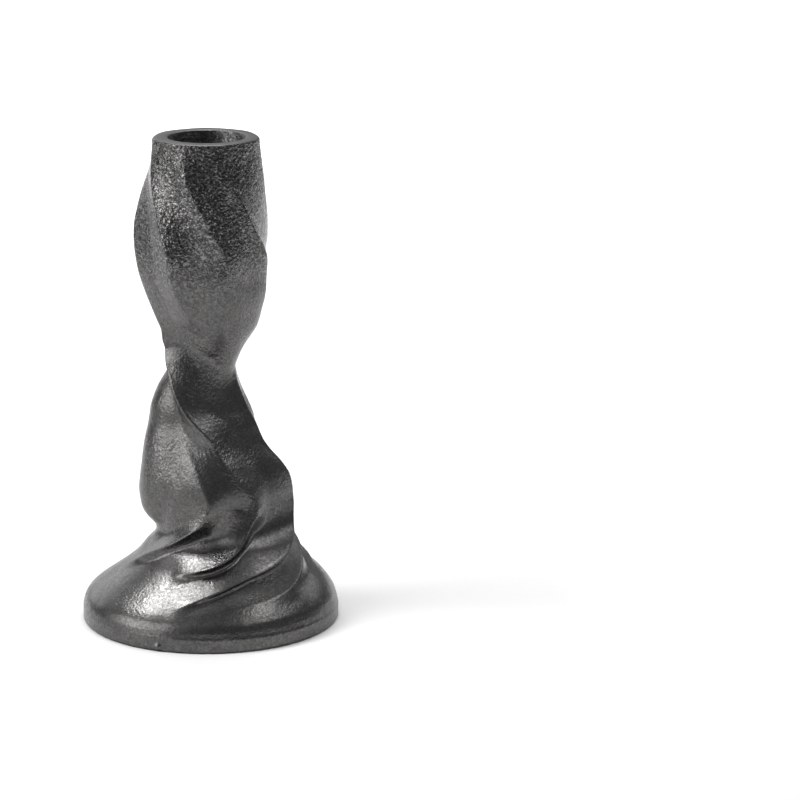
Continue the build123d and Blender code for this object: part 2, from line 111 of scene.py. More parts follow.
# Paths of the folds, from the top down: height in overall heights, azimuth in degrees, crest in crest
# heights, and the reach of the flank behind the crest and of the flank before it, in flank reaches
PATH_SHARES = {
    "first": (
        (1.04, -134, 0.2, 1.0, 1.0),
        (1.00, -128, 0.2, 1.0, 1.0),
        (0.94, -115, 0.7, 1.0, 1.0),
        (0.88, -102, 1.1, 1.1, 1.0),
        (0.82, -92, 1.2, 1.1, 1.0),
        (0.75, -84, 1.0, 1.1, 1.0),
        (0.69, -81, 0.8, 1.0, 1.0),
        (0.64, -77, 0.7, 0.9, 0.9),
        (0.58, -70, 1.1, 0.5, 0.9),
        (0.53, -55, 1.4, 0.4, 0.8),
        (0.49, -39, 1.5, 0.4, 0.8),
        (0.46, -28, 1.4, 0.5, 0.8),
        (0.43, -14, 1.2, 0.6, 0.8),
        (0.41, -3, 1.1, 0.7, 0.8),
        (0.39, 7, 0.9, 0.8, 0.8),
        (0.35, 17, 0.7, 1.0, 0.9),
        (0.32, 24, 0.5, 1.1, 1.0),
        (0.28, 35, 0.5, 1.2, 1.0),
        (0.25, 38, 0.8, 1.2, 0.8),
        (0.22, 28, 1.1, 1.0, 0.5),
        (0.19, 19, 1.5, 0.8, 0.4),
        (0.17, 10, 1.6, 0.7, 0.4),
        (0.155, -2, 1.5, 0.7, 0.4),
        (0.145, -13, 1.1, 0.7, 0.4),
        (0.13, -33, 0.0, 0.8, 0.5),
    ),
    "second": (
        (1.04, -88, 0.3, 1.0, 1.0),
        (1.00, -80, 0.3, 1.0, 1.0),
        (0.93, -66, 0.6, 1.0, 1.0),
        (0.89, -55, 0.8, 1.0, 1.0),
        (0.85, -44, 0.9, 1.0, 1.0),
        (0.82, -38, 1.0, 1.0, 1.0),
        (0.78, -33, 1.0, 1.0, 1.0),
        (0.73, -29, 0.9, 1.0, 1.0),
        (0.69, -27, 0.8, 0.9, 0.9),
        (0.66, -23, 0.6, 0.9, 0.9),
        (0.63, -17, 0.4, 0.9, 0.9),
        (0.59, -9, 0.1, 0.9, 0.9),
        (0.55, -4, 0.0, 0.9, 0.9),
    ),
    "third": (
        (1.04, -43, 0.2, 1.0, 1.0),
        (1.00, -34, 0.2, 1.0, 1.0),
        (0.96, -25, 0.5, 1.0, 1.0),
        (0.93, -19, 0.7, 1.0, 1.0),
        (0.90, -11, 0.8, 1.0, 1.0),
        (0.87, -3, 0.9, 1.0, 1.0),
        (0.84, 5, 1.0, 1.0, 1.0),
        (0.81, 12, 1.0, 1.0, 1.0),
        (0.79, 17, 1.0, 1.0, 1.0),
        (0.76, 20, 1.1, 1.0, 1.2),
        (0.72, 18, 1.2, 1.0, 1.3),
        (0.68, 17, 1.1, 1.0, 1.3),
        (0.64, 17, 0.9, 1.0, 1.3),
        (0.60, 18, 0.4, 1.0, 1.2),
        (0.56, 20, 0.0, 1.0, 1.0),
    ),
    "fourth": (
        (1.04, 18, 0.2, 1.0, 1.0),
        (1.00, 18, 0.2, 1.0, 1.0),
        (0.97, 15, 0.3, 1.0, 1.0),
        (0.93, 21, 0.5, 1.0, 1.0),
        (0.91, 28, 0.7, 1.2, 0.7),
        (0.89, 35, 0.8, 1.3, 0.6),
        (0.87, 39, 0.9, 1.4, 0.6),
        (0.83, 49, 1.0, 1.4, 0.6),
        (0.80, 58, 1.0, 1.4, 0.6),
        (0.77, 66, 1.0, 1.4, 0.7),
        (0.73, 76, 0.8, 1.3, 0.9),
        (0.69, 80, 0.7, 1.2, 1.0),
        (0.64, 84, 0.5, 1.0, 1.0),
        (0.58, 86, 0.2, 1.0, 1.0),
        (0.53, 82, 0.2, 0.9, 0.6),
        (0.48, 78, 0.7, 1.0, 0.5),
        (0.44, 77, 1.0, 1.1, 0.5),
        (0.40, 79, 1.2, 1.2, 0.5),
        (0.36, 83, 1.5, 1.4, 0.6),
        (0.32, 88, 1.9, 1.4, 0.8),
        (0.29, 90, 2.0, 1.4, 0.8),
        (0.26, 90, 2.0, 1.4, 0.8),
        (0.23, 87, 2.0, 1.2, 0.6),
        (0.20, 80, 1.9, 1.1, 0.5),
        (0.18, 71, 1.9, 1.0, 0.4),
        (0.16, 55, 1.8, 1.0, 0.4),
        (0.145, 34, 1.6, 1.0, 0.4),
        (0.13, 15, 1.2, 1.0, 0.3),
        (0.11, -2, 1.0, 1.0, 0.3),
        (0.09, -15, 0.5, 1.0, 0.4),
        (0.075, -22, 0.0, 1.0, 0.5),
    ),
    "fifth": (
        (1.04, 75, 0.3, 1.0, 1.0),
        (1.00, 79, 0.3, 1.0, 1.0),
        (0.95, 86, 0.5, 1.0, 1.0),
        (0.89, 93, 0.7, 1.0, 1.0),
        (0.82, 104, 1.0, 1.0, 1.0),
        (0.75, 116, 1.0, 1.0, 1.0),
        (0.68, 122, 0.7, 1.0, 1.0),
        (0.61, 124, 0.4, 0.9, 0.9),
        (0.54, 122, 0.5, 1.0, 0.8),
        (0.48, 117, 1.1, 1.0, 0.6),
        (0.44, 112, 1.4, 1.1, 0.6),
        (0.40, 112, 1.2, 1.1, 0.6),
        (0.35, 121, 1.0, 1.2, 0.6),
        (0.30, 132, 1.0, 1.2, 0.8),
        (0.26, 134, 1.0, 1.2, 0.8),
        (0.22, 126, 1.2, 1.1, 0.6),
        (0.19, 108, 1.4, 1.0, 0.5),
        (0.165, 91, 1.4, 1.0, 0.5),
        (0.14, 74, 1.0, 1.0, 0.6),
        (0.12, 58, 0.7, 1.0, 0.7),
        (0.10, 40, 0.5, 1.0, 0.7),
        (0.09, 22, 0.3, 1.0, 0.7),
        (0.08, 0, 0.1, 1.0, 0.6),
        (0.075, -12, 0.0, 1.0, 0.5),
    ),
    "sixth": (
        (1.04, 120, 0.2, 1.0, 1.0),
        (1.00, 128, 0.2, 1.0, 1.0),
        (0.93, 138, 0.7, 1.0, 1.0),
        (0.85, 150, 1.0, 1.0, 1.0),
        (0.76, 163, 0.9, 1.0, 0.8),
        (0.68, 171, 0.7, 1.0, 1.0),
        (0.60, 174, 0.3, 0.9, 0.9),
        (0.53, 170, 0.4, 0.9, 0.8),
        (0.47, 164, 0.8, 1.0, 0.6),
        (0.41, 162, 1.0, 1.1, 0.6),
        (0.35, 168, 1.0, 1.2, 0.6),
        (0.30, 176, 1.1, 1.2, 0.8),
        (0.26, 178, 1.1, 1.1, 0.6),
        (0.23, 171, 1.1, 1.0, 0.5),
        (0.20, 155, 1.0, 0.9, 0.4),
        (0.17, 136, 1.0, 0.9, 0.4),
        (0.15, 121, 0.8, 0.9, 0.4),
        (0.125, 103, 0.5, 0.9, 0.4),
        (0.11, 88, 0.0, 0.9, 0.5),
    ),
    "seventh": (
        (1.04, 168, 0.2, 1.0, 1.0),
        (1.00, 178, 0.2, 1.0, 1.0),
        (0.94, 190, 0.6, 1.0, 1.0),
        (0.87, 203, 1.0, 1.0, 1.0),
        (0.79, 216, 1.0, 1.0, 0.8),
        (0.71, 224, 0.8, 1.0, 1.0),
        (0.64, 226, 0.4, 0.9, 0.9),
        (0.58, 222, 0.2, 0.9, 0.9),
        (0.52, 214, 0.6, 0.9, 0.6),
        (0.46, 208, 1.0, 1.0, 0.5),
        (0.40, 207, 1.1, 1.1, 0.5),
        (0.34, 214, 1.2, 1.2, 0.6),
        (0.30, 220, 1.2, 1.1, 0.6),
        (0.27, 219, 1.1, 1.0, 0.5),
        (0.24, 210, 1.1, 0.9, 0.4),
        (0.21, 192, 1.1, 0.9, 0.4),
        (0.18, 174, 1.0, 0.9, 0.4),
        (0.15, 157, 0.8, 0.9, 0.4),
        (0.12, 140, 0.4, 0.9, 0.4),
        (0.10, 128, 0.0, 0.9, 0.5),
    ),
    "left": (
        (0.31, -114, 0.0, 1.0, 0.8),
        (0.27, -116, 0.4, 1.0, 0.6),
        (0.24, -123, 0.8, 0.9, 0.5),
        (0.21, -136, 1.0, 0.8, 0.4),
        (0.18, -153, 1.0, 0.8, 0.4),
        (0.15, -173, 0.8, 0.8, 0.4),
        (0.13, -187, 0.4, 0.8, 0.4),
        (0.11, -202, 0.0, 0.8, 0.5),
    ),
    "front": (
        (0.46, -65, 0.0, 1.0, 0.8),
        (0.42, -46, 0.0, 1.0, 0.8),
        (0.38, -27, 0.1, 1.0, 1.2),
        (0.35, -17, 0.3, 1.0, 1.2),
        (0.32, -12, 0.4, 1.0, 1.3),
        (0.30, -8, 0.5, 1.0, 1.3),
        (0.28, -5, 0.6, 1.0, 1.1),
        (0.265, -4, 0.7, 0.9, 0.8),
        (0.25, -7, 0.8, 0.7, 0.5),
        (0.23, -13, 0.9, 0.6, 0.5),
        (0.21, -24, 1.1, 0.5, 0.4),
        (0.185, -41, 1.1, 0.5, 0.4),
        (0.16, -58, 0.9, 0.5, 0.4),
        (0.135, -74, 0.4, 0.5, 0.4),
        (0.11, -86, 0.0, 0.6, 0.5),
    ),
}

# Path of the broad, rounded lobe on the left of the lower column, in the same terms
LOBE_SHARES = (
    (0.57, -137, 0.0, 1.2, 1.2),
    (0.53, -127, 0.8, 1.2, 1.2),
    (0.48, -113, 1.9, 1.5, 1.4),
    (0.44, -104, 2.3, 1.8, 1.5),
    (0.40, -99, 2.2, 1.9, 1.6),
    (0.36, -95, 2.0, 2.0, 1.8),
    (0.32, -92, 1.7, 2.0, 1.9),
    (0.28, -90, 1.6, 1.8, 1.8),
    (0.25, -90, 1.6, 1.5, 1.5),
    (0.22, -90, 1.3, 1.2, 1.2),
    (0.20, -90, 0.4, 1.1, 1.1),
    (0.18, -90, 0.1, 1.0, 1.0),
    (0.16, -90, 0.0, 1.0, 1.0),
)

# Turn of the mesh's columns with height, so that they run along the folds: height in overall heights, degrees
GRID_TURN_SHARES = (
    (1.05, 0.0),
    (0.90, 20.0),
    (0.75, 48.0),
    (0.60, 58.0),
    (0.45, 88.0),
    (0.36, 112.0),
    (0.28, 122.0),
    (0.23, 112.0),
    (0.18, 78.0),
    (0.13, 28.0),
    (0.09, -22.0),
    (0.06, -45.0),
    (0.00, -50.0),
)

# Marks of the casting: height in overall heights, azimuth in degrees, then the mark's own radius and height
# in millimetres
BLEMISH_SHARES = (
    (0.010, -24.0, 0.8, 0.90),
    (0.668, 23.0, 0.7, -0.50),
    (0.560, 18.0, 0.7, -0.40),
    (0.605, 12.0, 0.5, 0.25),
)


class Socket:
    """A value, a colour or a vector inside one material, wrapped so that shader maths reads as maths."""

    def __init__(self, graph: "Graph", link: Any) -> None:
        """Keep the material's graph and the output socket that this wraps."""
        self.graph = graph
        self.link = link

    def _maths(self, operation: str, first: Any, second: Any = None) -> "Socket":
        """One Math node on one value or two."""
        values = {0: first} if second is None else {0: first, 1: second}
        return self.graph.node("ShaderNodeMath", {"operation": operation}, values)

    def __add__(self, other: Any) -> "Socket":
        """This plus the other."""
        return self._maths("ADD", self, other)

    __radd__ = __add__

    def __sub__(self, other: Any) -> "Socket":
        """This less the other."""
        return self._maths("SUBTRACT", self, other)

    def __rsub__(self, other: Any) -> "Socket":
        """The other less this."""
        return self._maths("SUBTRACT", other, self)

    def __mul__(self, other: Any) -> "Socket":
        """This times the other."""
        return self._maths("MULTIPLY", self, other)

    __rmul__ = __mul__

    def __pow__(self, other: Any) -> "Socket":
        """This to a power."""
        return self._maths("POWER", self, other)

    def ramp(self, low: Number, high: Number, start: Number = 0.0, end: Number = 1.0) -> "Socket":
        """A smooth step from start to end as this goes from low to high.

        Args:
            low: Where the step starts.
            high: Where the step ends.
            start: The value below it.
            end: The value above it.

        Returns:
            The stepped value.
        """
        settings = {"interpolation_type": "SMOOTHSTEP"}
        values = {"Value": self, "From Min": low, "From Max": high, "To Min": start, "To Max": end}
        return self.graph.node("ShaderNodeMapRange", settings, values)


class Graph:
    """One material's nodes."""

    def __init__(self, name: str) -> None:
        """Start an empty material.

        Args:
            name: The material's name.
        """
        self.material = bpy.data.materials.new(name)
        self.material.use_nodes = True
        self.tree = self.material.node_tree
        self.tree.nodes.clear()

    def node(
        self,
        kind: str,
        settings: Optional[dict[str, Any]] = None,
        values: Optional[dict[Union[int, str], Any]] = None,
        out: Union[int, str, None] = 0,
    ) -> Socket:
        """Any node: its settings first, then the values or links of its sockets.

        Args:
            kind: The node's type.
            settings: The node's own settings.
            values: Its input sockets by name or number, each a number, a tuple or another socket.
            out: The output that is wanted, or None for a node that has none.

        Returns:
            That output.
        """
        made = self.tree.nodes.new(kind)
        for name, value in (settings or {}).items():
            setattr(made, name, value)
        for name, value in (values or {}).items():
            if isinstance(value, Socket):
                self.tree.links.new(value.link, made.inputs[name])
            else:
                made.inputs[name].default_value = value
        return Socket(self, None if out is None else made.outputs[out])

    def place(self) -> Socket:
        """Place on the piece, in metres."""
        return self.node("ShaderNodeTexCoord", out="Object")

    def axis(self, place: Socket, which: str) -> Socket:
        """One coordinate of a place: X, Y or Z, in metres."""
        return self.node("ShaderNodeSeparateXYZ", values={0: place}, out=which)

    def noise(
        self, place: Socket, grain: float, detail: float = 2.0, roughness: float = 0.5, warp: float = 0.0
    ) -> Socket:
        """Noise with lumps of about one size.

        Args:
            place: Where on the piece.
            grain: The size of a lump, in metres.
            detail: How many finer layers it has.
            roughness: How strong the finer layers are.
            warp: How far it is distorted.

        Returns:
            A value round 0.5.
        """
        values = {
            "Vector": place,
            "Scale": 1.0 / grain,
            "Detail": detail,
            "Roughness": roughness,
            "Distortion": warp,
        }
        return self.node("ShaderNodeTexNoise", values=values, out="Fac")

    def cells(self, place: Socket, size: float, feature: str = "SMOOTH_F1") -> Socket:
        """Distance to the nearest of points that are scattered one size apart, in sizes."""
        values = {"Vector": place, "Scale": 1.0 / size}
        return self.node("ShaderNodeTexVoronoi", {"feature": feature}, values, out="Distance")

    def blend(self, share: Any, first: Any, second: Any) -> Socket:
        """Colour that goes from the first to the second with the share.

        Args:
            share: How much of the second.
            first: A colour or its socket.
            second: A colour or its socket.

        Returns:
            The mixed colour.
        """
        full = [(*colour, 1.0) if isinstance(colour, tuple) else colour for colour in (first, second)]
        values = {"Factor": share, 6: full[0], 7: full[1]}
        return self.node("ShaderNodeMix", {"data_type": "RGBA"}, values, out=2)

    def relief(self, height: Socket, depth: float) -> Socket:
        """Bumped normal, where a height of 1 stands for the depth in metres."""
        values = {"Height": height, "Distance": depth, "Strength": 1.0}
        return self.node("ShaderNodeBump", values=values, out="Normal")

    def close(self, surface: dict[Union[int, str], Any]) -> Any:
        """Join one principled surface to the output.

        Args:
            surface: The surface's sockets.

        Returns:
            The finished material.
        """
        shader = self.node("ShaderNodeBsdfPrincipled", values=surface, out="BSDF")
        self.node("ShaderNodeOutputMaterial", values={"Surface": shader}, out=None)
        return self.material


@dataclass(frozen=True)
class BlackenedIron:
    """Sand-cast iron, blackened, with a satin sheen, burnished below its rim and bright on the dressed rim.

    Each band is where a change starts and where it is full, as shares of the rim's height. The dressing
    starts and is full at two depths below the rim, and the bore's wall at two gaps out from its radius.
    """

    rim_height: float
    socket_radius: float
    dark: Colour = (0.080, 0.079, 0.078)
    light: Colour = (0.150, 0.148, 0.145)
    dressed: Colour = (0.230, 0.228, 0.224)
    # Dark of the grain's pits below the rim, and also the painted shade in the bore
    pit_and_bore_shade: Colour = (0.022, 0.022, 0.021)
    burnished: Colour = (0.265, 0.262, 0.258)
    grain: float = 0.76 * MM
    coarse_grains: float = 3.5
    cloud: float = 16 * MM
    relief_depth: float = 0.20 * MM
    dressing: Band = (0.30 * MM, 0.05 * MM)
    bore_gaps: Band = (0.12 * MM, 0.02 * MM)
    foot_band: Band = (0.10, 0.35)
    upper_band: Band = (0.66, 0.82)
    bore_band: Band = (0.79, 0.82)

    def band(self, height: Socket, which: Band, start: float = 0.0, end: float = 1.0) -> Socket:
        """A smooth step from start to end over one band of heights."""
        return height.ramp(self.rim_height * which[0], self.rim_height * which[1], start, end)

    def bore(self, graph: Graph, place: Socket, height: Socket, across: Socket) -> Socket:
        """Mask of the socket's wall, by its distance from the axis, where shade is painted into the colour
        and the roughness is raised.

        Args:
            graph: The material's graph.
            place: The place.
            height: Its height.
            across: Its X coordinate.

        Returns:
            One on the wall and nought elsewhere.
        """
        along = graph.axis(place, "Y")
        radius = (across * across + along * along) ** 0.5
        outer, inner = (self.socket_radius + gap for gap in self.bore_gaps)
        return radius.ramp(inner, outer, 1.0, 0.0) * self.band(height, self.bore_band)

    def material(self) -> Any:
        """The finish: cast grain of two sizes in cloudy patches, and painted shade on the bore's wall,
        deepest towards -X.

        The grain is faintest on the foot, and boldest below the rim, where its peaks are burnished.

        Returns:
            The material.
        """
        graph = Graph("blackened_iron")
        place = graph.place()
        coarse = graph.noise(place, self.grain * self.coarse_grains, 3.0, 0.55)
        grain = graph.noise(place, self.grain, 1.2, 0.5, 1.2)
        sand = graph.cells(place, self.grain)
        cloud = graph.noise(place, self.cloud, 3.0, 0.6)
        height, across = graph.axis(place, "Z"), graph.axis(place, "X")
        lowest, full = (self.rim_height - depth for depth in self.dressing)
        worn = height.ramp(lowest, full) * coarse.ramp(0.22, 0.36, 0.75, 1.0)
        bore = self.bore(graph, place, height, across)
        lower = self.band(height, self.foot_band, -0.50, 0.0)
        upper = self.band(height, self.upper_band, 0.0, 0.9)

        tone = (grain * 0.7 + coarse * 0.2 + cloud * 0.2).ramp(0.36, 0.78)
        peaks = (grain - sand * 0.15).ramp(0.40, 0.60)
        colour = graph.blend(tone, self.dark, self.light)
        colour = graph.blend(upper * (1.0 - peaks) * 0.45, colour, self.pit_and_bore_shade)
        colour = graph.blend(upper * peaks, colour, self.burnished)
        colour = graph.blend(worn, colour, self.dressed)
        # Painted shade in the bore: the wall is darkened most towards -X and least towards +X
        colour = graph.blend(bore * across.ramp(-1.0 * MM, 7.0 * MM, 0.9, 0.35), colour, self.pit_and_bore_shade)

        patches = cloud.ramp(0.42, 0.62, 0.32, 0.85)
        rough_cast = (patches + lower + upper).ramp(0.0, 1.6, 0.24, 1.35) * (1.0 - worn * 0.9)
        relief = (sand * 0.8 + grain * 0.7) * rough_cast + coarse * 0.08
        sheen = grain.ramp(0.3, 0.75, 0.34, 0.27) + cloud.ramp(0.35, 0.7, 0.02, -0.02)
        return graph.close(
            {
                "Base Color": colour,
                "Metallic": 1.0,
                "Roughness": sheen - upper * 0.15 + worn * 0.29 + bore * 0.22,
                "Normal": graph.relief(relief, self.relief_depth),
            }
        )


@dataclass(frozen=True)
class PressedFelt:
    """Dense black pressed felt."""

    fibre: float = 0.35 * MM
    cloud: float = 5 * MM
    relief_depth: float = 0.25 * MM
    dark: Colour = (0.018, 0.018, 0.020)
    light: Colour = (0.060, 0.060, 0.064)

    def material(self) -> Any:
        """The finish: fibres that lie every way over a soft cloudy ground.

        Returns:
            The material.
        """
        graph = Graph("pressed_felt")
        place = graph.place()
        fibre = graph.noise(place, self.fibre, 4.0, 0.7, 2.5)
        cloud = graph.noise(place, self.cloud, 3.0, 0.6)
        tone = (fibre * 0.8 + cloud * 0.4).ramp(0.40, 0.85)
        colour = graph.blend(tone, self.dark, self.light)
        normal = graph.relief(fibre + cloud * 0.5, self.relief_depth)
        surface = {
            "Base Color": colour,
            "Roughness": fibre.ramp(0.3, 0.8, 0.98, 0.86),
            "Normal": normal,
            "Sheen Weight": 0.5,
            "Sheen Roughness": 0.6,
        }
        return graph.close(surface)


@dataclass(frozen=True)
class AdhesiveLayer:
    """Thin pressure-sensitive adhesive, with small trapped bubbles."""

    patch: float = 4 * MM
    bubble: float = 1.6 * MM
    relief_depth: float = 0.05 * MM
    pale: Colour = (0.62, 0.60, 0.55)
    wet: Colour = (0.46, 0.44, 0.39)

    def material(self) -> Any:
        """The finish: a milky layer with wetter patches.

        Returns:
            The material.
        """
        graph = Graph("adhesive_layer")
        place = graph.place()
        patches = graph.noise(place, self.patch, 3.0, 0.6)
        bubbles = graph.cells(place, self.bubble, "F1")
        colour = graph.blend(patches.ramp(0.35, 0.65), self.pale, self.wet)
        normal = graph.relief(bubbles.ramp(0.1, 0.4) + patches, self.relief_depth)
        return graph.close(
            {"Base Color": colour, "Roughness": patches.ramp(0.3, 0.7, 0.38, 0.55), "Normal": normal}
        )


@dataclass(frozen=True)
class StudioPaper:
    """The pale, seamless floor."""

    tint: Colour = (0.90, 0.90, 0.90)
    shade: Colour = (0.88, 0.88, 0.88)
    fibre: float = 2 * MM

    def material(self) -> Any:
        """The finish: matt paper.

        Returns:
            The material.
        """
        graph = Graph("studio_paper")
        fibre = graph.noise(graph.place(), self.fibre, 3.0, 0.6)
        colour = graph.blend(fibre, self.tint, self.shade)
        return graph.close({"Base Color": colour, "Roughness": 0.9, "Specular IOR Level": 0.0})


def smooth(places: np.ndarray, values: np.ndarray, wanted: np.ndarray) -> np.ndarray:
    """Values at the wanted places, by cubic spans between knots that don't overshoot.

    Each knot's tangent is the mean of the slopes beside it, each weighted by the other's span, and zero where
    the values turn.

    Args:
        places: The knots' places, growing.
        values: The values there.
        wanted: Where values are wanted.

    Returns:
        The values at the wanted places.
    """
    span = np.diff(places)
    slope = np.diff(values) / span
    tangent = np.empty_like(values)
    tangent[0], tangent[-1] = slope[0], slope[-1]
    tangent[1:-1] = (slope[:-1] * span[1:] + slope[1:] * span[:-1]) / (span[:-1] + span[1:])
    tangent[1:-1][slope[:-1] * slope[1:] <= 0] = 0
    wanted = np.clip(wanted, places[0], places[-1])
    left = np.clip(np.searchsorted(places, wanted) - 1, 0, len(span) - 1)
    t = (wanted - places[left]) / span[left]
    ends = values[left] * (1 + 2 * t) * (1 - t) ** 2 + values[left + 1] * t * t * (3 - 2 * t)
    pull = tangent[left] * t * (1 - t) ** 2 - tangent[left + 1] * t * t * (1 - t)
    return ends + pull * span[left]


def lumps(points: np.ndarray, size: float, seed: int) -> np.ndarray:
    """Smooth noise in space: a lattice of seeded values, blended by smooth steps between eight corners.

    Args:
        points: Places, with three coordinates on the last axis.
        size: The lattice's spacing.
        seed: The seed of its values.

    Returns:
        Values from -1 to 1.
    """
    side = 64
    lattice = np.random.default_rng(seed).uniform(-1, 1, (side, side, side))
    scaled = (points + NOISE_SHIFT) / size
    base = np.floor(scaled).astype(int)
    part = scaled - base
    part = part * part * (3 - 2 * part)
    total = np.zeros(points.shape[:-1])
    for corner in np.ndindex(2, 2, 2):
        offset = np.array(corner)
        weight = np.prod(np.where(offset == 1, part, 1 - part), axis=-1)
        cell = (base + offset) % side
        total += weight * lattice[cell[..., 0], cell[..., 1], cell[..., 2]]
    return total


def closed_grid(name: str, rings: np.ndarray, first_pole: np.ndarray, last_pole: np.ndarray) -> Any:
    """Closed mesh of rings of points, joined ring to ring, with a fan of triangles at each end.

    Args:
        name: The piece's name.
        rings: Points by ring and by place round the ring.
        first_pole: The point that closes the first ring.
        last_pole: The point that closes the last ring.

    Returns:
        The piece.
    """
    count, around = rings.shape[:2]
    points = np.concatenate([rings.reshape(-1, 3), first_pole[None], last_pole[None]])
    number = np.arange(count * around).reshape(count, around)
    after = np.roll(number, -1, axis=1)
    quads = np.stack([number[:-1], after[:-1], after[1:], number[1:]], -1).reshape(-1, 4)
    first = np.stack([after[0], number[0], np.full(around, count * around)], -1)
    last = np.stack([number[-1], after[-1], np.full(around, count * around + 1)], -1)
    fans = np.concatenate([first, last])
    mesh = bpy.data.meshes.new(name)
    mesh.vertices.add(len(points))
    mesh.vertices.foreach_set("co", points.astype(np.float32).ravel())
    corners = np.concatenate([quads.ravel(), fans.ravel()])
    sizes = np.concatenate([np.full(len(quads), 4), np.full(len(fans), 3)])
    starts = np.concatenate([[0], np.cumsum(sizes)[:-1]])
    mesh.loops.add(len(corners))
    mesh.loops.foreach_set("vertex_index", corners.astype(np.int32))
    mesh.polygons.add(len(sizes))
    mesh.polygons.foreach_set("loop_start", starts.astype(np.int32))
    mesh.polygons.foreach_set("loop_total", sizes.astype(np.int32))
    mesh.polygons.foreach_set("use_smooth", np.ones(len(sizes), bool))
    mesh.update(calc_edges=True)
    mesh.validate()
    piece = bpy.data.objects.new(name, mesh)
    bpy.context.scene.collection.objects.link(piece)
    return piece


@dataclass(frozen=True)
class Places:
    """Places on the unrolled skin, and how much longer the skin is there than its rise."""

    height: np.ndarray
    azimuth: np.ndarray
    radius: np.ndarray
    slant: np.ndarray


@dataclass
class TwistedSkin:
    """The outside of the column and the dome: flutes between sharp folds that wind round them.

    The bead on a crest starts where the crest is bead_from crest heights high, and is whole bead_over higher.
    """

    overall_height: float
    foot_radius: float
    rim_radius: float
    lip_top: float
    lip_step: float
    flare_height: float
    waist_tip: float = 1.6 * MM
    waist_swing: float = 3.5 * MM
    waist_turn: float = 12.0
    crest_height: float = 2.5 * MM
    flank_reach: float = 8.0 * MM
    crest_round: float = 0.40 * MM
    bead_height: float = 0.26 * MM
    bead_reach: float = 0.45 * MM
    bead_from: float = 0.9
    bead_over: float = 0.4
    flank_power: float = 1.7
    path_points: int = 90
    slope_step: float = 0.25 * MM
    steepest_slope: float = 1.6
    rings_at_once: int = 8

    def column_share(self, height: np.ndarray, which: int) -> np.ndarray:
        """Share of radius (1), of drift (2) or of lean (3) of the column at each height."""
        rows = np.array(COLUMN_SHARES[::-1])
        return smooth(rows[:, 0] * self.overall_height, rows[:, which], height)

    def floor_radius(self, height: np.ndarray) -> np.ndarray:
        """Radius of the flute floors: the column's, plus the flare's share of the way out to the foot.

        Args:
            height: Heights.

        Returns:
            The radii.
        """
        rows = np.array(FLARE_SHARES[::-1])
        places = self.lip_top + rows[:, 0] * (self.flare_height - self.lip_top)
        flare = smooth(places, rows[:, 1], height)
        inner = self.rim_radius * self.column_share(height, 1)
        return inner + flare * (self.foot_radius - self.lip_step - inner)

    def dense_path(self, share_rows: Iterable[tuple[float, ...]]) -> np.ndarray:
        """Points along a fold, evenly spaced by length run over the skin.

        Args:
            share_rows: The fold's rows.

        Returns:
            Height, azimuth, crest height and the reach of both flanks, for each point.
        """
        rows = np.array(share_rows, float)
        rows[:, 0] *= self.overall_height
        rows[:, 2] *= self.crest_height
        rows[:, 3:] *= self.flank_reach
        radius = self.floor_radius(rows[:, 0])
        across = np.radians(np.diff(rows[:, 1])) * (radius[1:] + radius[:-1]) / 2
        run = np.concatenate([[0], np.cumsum(np.hypot(np.diff(rows[:, 0]), across))])
        wanted = np.linspace(0, run[-1], self.path_points)
        return np.stack([smooth(run, rows[:, which], wanted) for which in range(rows.shape[1])], 1)

    def nearest(self, path: np.ndarray, spot: Places) -> tuple[np.ndarray, np.ndarray, np.ndarray]:
        """Distance to a path over the unrolled skin, span by span, and the path's values where it is nearest.

        Args:
            path: The fold's points.
            spot: Places on the skin.

        Returns:
            Distance, side of the path, and the path's values.
        """
        turn = (spot.azimuth[:, None] - path[None, :-1, 1] + 180) % 360 - 180
        away = np.radians(turn) * spot.radius[:, None]
        over = (spot.height[:, None] - path[None, :-1, 0]) * spot.slant[:, None]
        along = np.radians(np.diff(path[:, 1]))[None] * spot.radius[:, None]
        down = np.diff(path[:, 0])[None] * spot.slant[:, None]
        reached = np.clip((away * along + over * down) / (along**2 + down**2), 0, 1)
        gap = np.hypot(away - reached * along, over - reached * down)
        best = np.argmin(gap, 1)
        row = np.arange(len(best))
        side = along[row, best] * over[row, best] - down[row, best] * away[row, best]
        share = reached[row, best][:, None]
        values = path[best] * (1 - share) + path[best + 1] * share
        return gap[row, best], side, values

    def stand(self, path: np.ndarray, rounded: bool, spot: Places) -> np.ndarray:
        """How far one fold or the lobe stands over the flutes, from the spans of its path within reach.

        A fold falls off from its crest as (1 - gap / reach) to the flank power. Its edge is rounded, and a
        narrow bell gives a full crest its bead. The lobe falls off as (1 - (gap / reach) squared) squared.

        Args:
            path: The path's points.
            rounded: True for the lobe.
            spot: Places on the skin.

        Returns:
            The heights over the flutes.
        """
        reach_most = path[:, 3:].max()
        lowest, highest = spot.height.min() - reach_most, spot.height.max() + reach_most
        close = (path[:, 0] > lowest) & (path[:, 0] < highest)
        if close.sum() < 2:
            return np.zeros_like(spot.height)
        first, last = np.flatnonzero(close)[[0, -1]]
        gap, side, values = self.nearest(path[max(first - 1, 0) : last + 2], spot)
        reach = np.where(side > 0, values[:, 4], values[:, 3])
        if rounded:
            return values[:, 2] * (1 - np.clip(gap / reach, 0, 1) ** 2) ** 2
        full = (values[:, 2] / self.crest_height - self.bead_from) / self.bead_over
        bead = self.bead_height * np.clip(full, 0, 1) * np.exp(-((gap / self.bead_reach) ** 2))
        gap = np.hypot(gap, self.crest_round) - self.crest_round
        return bead + values[:, 2] * (1 - np.clip(gap / reach, 0, 1)) ** self.flank_power

